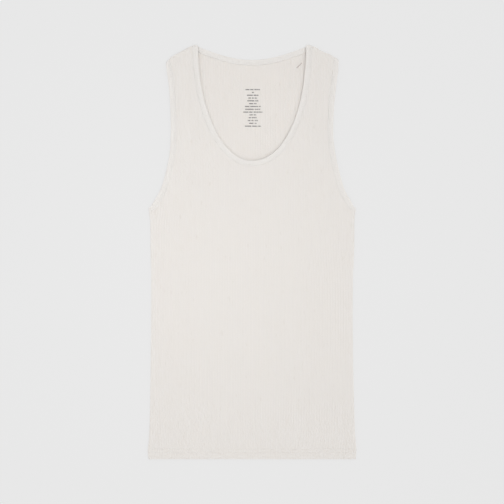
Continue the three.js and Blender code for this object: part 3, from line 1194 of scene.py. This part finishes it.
# %% [markdown]
# Thread, tack and ink
#
# Sewing thread is smoother than knit yarn, so it shines a little and shows its twist as fine slanting lines.
# The ink is a matt dark grey that has sunk into the fibres, so it is paler where the film is thin.


# %% Thread and ink
THREAD_LIGHT = (0.86, 0.83, 0.79)
THREAD_DARK = (0.72, 0.68, 0.63)
TACK_LIGHT = (0.42, 0.34, 0.33)
TACK_DARK = (0.26, 0.2, 0.2)
INK_DARK = (0.16, 0.157, 0.155)
INK_WORN = (0.36, 0.35, 0.34)
TWISTS = 900.0  # scale of the twist's lines and of the ink's wear
TWIST_BUMP = 0.08 * MM


def twisted_thread(name, light, dark):
    thread_finish = Finish(name, Roughness=0.62, Sheen_Weight=0.15, Specular_IOR_Level=0.35)
    metres = thread_finish.node("ShaderNodeTexCoord", {}, out=3)
    settings = {"wave_type": "BANDS", "bands_direction": "DIAGONAL"}
    lines = {"Vector": metres, "Scale": TWISTS, "Distortion": 0.4}
    twist = thread_finish.node("ShaderNodeTexWave", settings, lines, out=1)
    thread_finish.surface("Base Color", thread_finish.mix(twist * 0.35, light, dark))
    bump = {"Strength": 0.3, "Distance": TWIST_BUMP, "Height": twist}
    thread_finish.surface("Normal", thread_finish.node("ShaderNodeBump", {}, bump))
    return thread_finish.material


def soaked_ink(name):
    ink = Finish(name, Roughness=0.85, Specular_IOR_Level=0.2)
    metres = ink.node("ShaderNodeTexCoord", {}, out=3)
    worn = ink.noise(metres, TWISTS, 3.0)
    ink.surface("Base Color", ink.mix(worn, INK_DARK, INK_WORN))
    ink.surface("Roughness", 0.8 + worn * 0.15)
    return ink.material


ivory_thread = twisted_thread("ivory_thread", THREAD_LIGHT, THREAD_DARK)
tack_thread = twisted_thread("tack_thread", TACK_LIGHT, TACK_DARK)
dark_ink = soaked_ink("dark_ink")

# %% [markdown]
# Dressing the frame
#
# Each cloth piece stands for one of the solids, rides on the same body and hides it. The area of each
# piece's cloth is printed.

# %% Who stands for what
dressed = [
    (front_cloth, "front_panel", "rib", front_cotton),
    (back_cloth, "back_panel", "rib", back_cotton_painted_shade),
    (neck_rib, "neck_binding", "binding_rib", strip_cotton_painted_light),
    (armhole_rib[-1], "armhole_binding_left", "binding_rib", strip_cotton_painted_light),
    (armhole_rib[1], "armhole_binding_right", "binding_rib", strip_cotton_painted_light),
]
sewn = [neck_stitches, *armhole_stitches.values(), *front_hem, *back_hem]
for piece, node, slot, material in dressed:
    piece.data.materials.clear()
    piece.data.materials.append(material)
    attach(piece, body)
    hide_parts(node)
for piece, slot, material in [
    *((row, "thread", ivory_thread) for row in sewn),
    (neck_tack, "thread", tack_thread),
    (printed_block, "print", dark_ink),
]:
    piece.data.materials.append(material)
    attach(piece, body)


def sheet_area(piece):
    """Half the surface of a thin closed shell, which is its cloth."""
    return sum(face.area for face in piece.data.polygons) / 2


neck_run = (edge_length(NECK_FRONT) + edge_length(NECK_BACK)) * MM
for sign, strip in armhole_rib.items():
    run = 2 * edge_length(ARMHOLE[sign]) * MM
for piece, *_ in dressed:
    print(piece.name, "cloth", round(sheet_area(piece), 4), "m2,", len(piece.data.polygons), "faces")

# %% [markdown]
# The table, the light and the camera
#
# The garment is seen from straight above on a plain pale table, which glows as a light table does and so
# shows hardly a shadow. An even pale world gives most of the light. A distant lamp on the right draws the
# thin dark line under the raised lip of the neckline, and a soft box over the chest lets the light fall off
# towards the hem and the right side. The camera is a long lens far away, because a picture of flat goods
# should show them without perspective.

# %% Stage
GROUND = (0.14, 0.14, 0.14)
GROUND_GRAIN = (0.12, 0.12, 0.12)
GLOW = 0.668
GROUND_SIZE = 60  # metres
GROUND_GAP = 0.05 * MM  # keeps the ground from touching the back's face
PIXEL = 1.547  # millimetres that one pixel shows
FRAME_PIXELS = 504
LENS = 100.0
SENSOR = 36.0
AIM = (-0.1, 0.0)  # mm from the garment's middle to the middle of the picture
MIDDLE = (0, 0, 0)
DISTANT = {"place": (0.47, -0.08, 0.86), "energy": 0.36, "angle": math.radians(9)}
CHEST = (-0.105, 0, 0)
BOX = {"place": (CHEST[0], CHEST[1], 0.5), "energy": 0.43, "size": 0.3}
WORLD_STRENGTH = 0.835


def plain_ground():
    bpy.ops.mesh.primitive_plane_add(size=GROUND_SIZE, location=(0, 0, -GROUND_GAP))
    made = bpy.context.object
    made.name = "floor"
    glow = {"Emission_Color": (1, 1, 1, 1), "Emission_Strength": GLOW}
    ground = Finish("pale_ground", Roughness=0.95, Specular_IOR_Level=0.0, **glow)
    metres = ground.node("ShaderNodeTexCoord", {}, out=3)
    grain = ground.noise(metres, 60.0, 2.0)
    ground.surface("Base Color", ground.mix(grain * 0.05, GROUND, GROUND_GRAIN))
    made.data.materials.append(ground.material)
    made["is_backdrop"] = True


def lamp(name, kind, place, aim, **settings):
    light = bpy.data.lights.new(name, kind)
    for key, value in settings.items():
        setattr(light, key, value)
    made = bpy.data.objects.new(name, light)
    made.location = place
    made.rotation_euler = (Vector(aim) - Vector(place)).to_track_quat("-Z", "Y").to_euler()
    made.visible_camera = False
    bpy.context.scene.collection.objects.link(made)


def pale_world(strength):
    """An even pale room all round."""
    world = bpy.data.worlds.new("pale_room")
    world.use_nodes = True
    background = world.node_tree.nodes["Background"]
    background.inputs["Color"].default_value = (1, 1, 1, 1)
    background.inputs["Strength"].default_value = strength
    bpy.context.scene.world = world


def straight_down():
    """A long lens that shows FRAME_PIXELS at PIXEL millimetres each."""
    distance = PIXEL * FRAME_PIXELS * MM * LENS / SENSOR
    camera = bpy.data.cameras.new("camera")
    camera.lens = LENS
    camera.sensor_width = SENSOR
    made = bpy.data.objects.new("camera", camera)
    made.location = (AIM[0] * MM, AIM[1] * MM, distance)
    bpy.context.scene.collection.objects.link(made)
    bpy.context.scene.camera = made
    print("camera", round(distance, 3), "m above")


plain_ground()
lamp("distant_right", "SUN", aim=MIDDLE, **DISTANT)
lamp("box_over_chest", "AREA", aim=CHEST, **BOX)
pale_world(WORLD_STRENGTH)
straight_down()
bpy.context.scene.view_settings.view_transform = "Standard"

# %% [markdown]
# Sizes of the result
#
# The frame's box and the dressed garment's box are gathered side by side, and the dressed one's size is
# printed. The dressed garment has to stay in the frame's box, but for the little that fabric may stand
# proud.

# %% The two boxes, and finish
visual_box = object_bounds()
boxes = {"cad": cad_box, "visual": visual_box}
{key: [list(corner) for corner in box] for key, box in boxes.items()}
print("box, mm:", [round((high - low) / MM, 1) for low, high in zip(*visual_box)])
